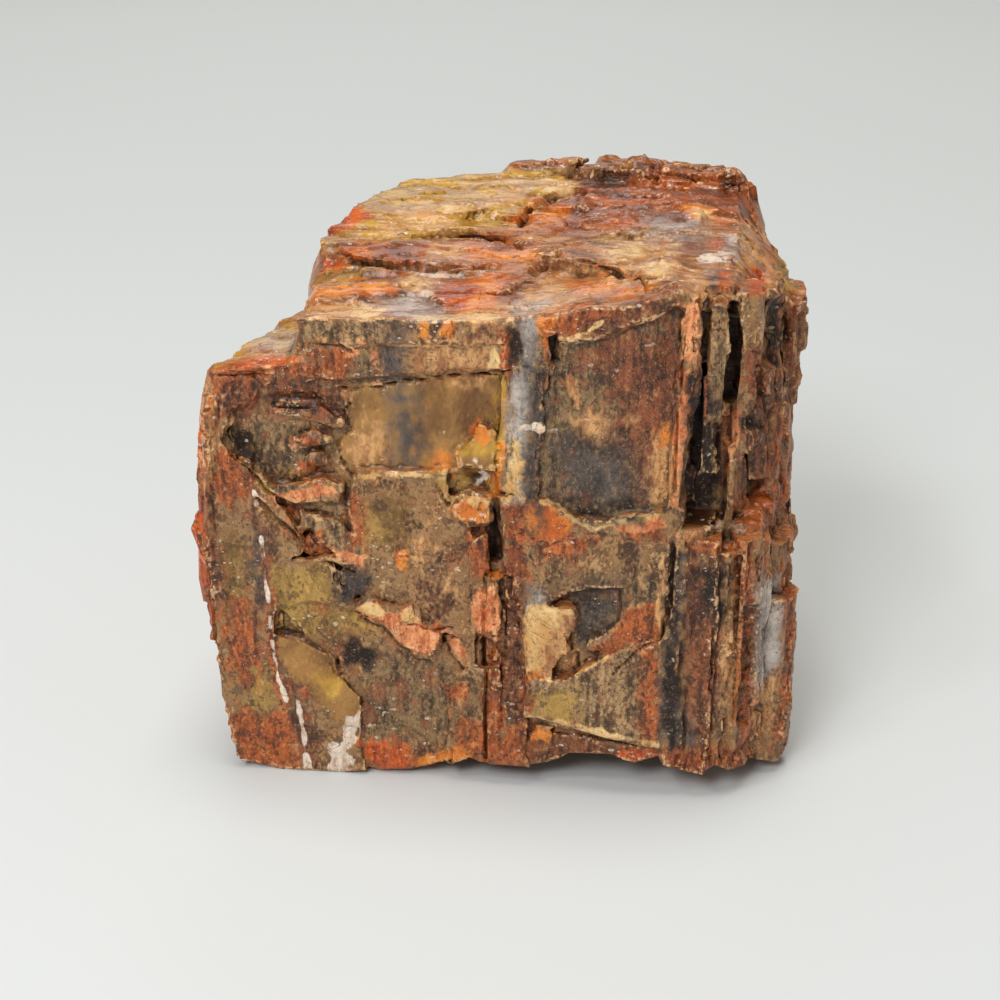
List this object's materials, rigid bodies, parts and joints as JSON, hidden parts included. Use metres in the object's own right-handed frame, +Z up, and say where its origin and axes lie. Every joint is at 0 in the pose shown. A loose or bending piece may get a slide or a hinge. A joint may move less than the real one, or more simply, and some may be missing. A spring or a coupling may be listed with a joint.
{
  "type": "petrified wood specimen",
  "caption": "Blocky chunk of agatized log, broken along its growth layers, with flaked front, streaked top and splintered side; rests on its broken underside.",
  "frame": {"origin": "on the floor under the middle of the block's bounding box", "axes": "+X to the splintered right side, +Y from the flaked front to the back, across the growth layers, +Z up along the wood's grain"},
  "size_m": [0.1382, 0.1112, 0.125],
  "materials": {
    "agatized_wood": "silicified wood in rust, orange, ochre, olive, cream and blue-grey layers, waxy where it is clean broken and dull where it is granular"
  },
  "bodies": {
    "root": {"petrified_wood": "agatized_wood"}
  },
  "joints": []
}
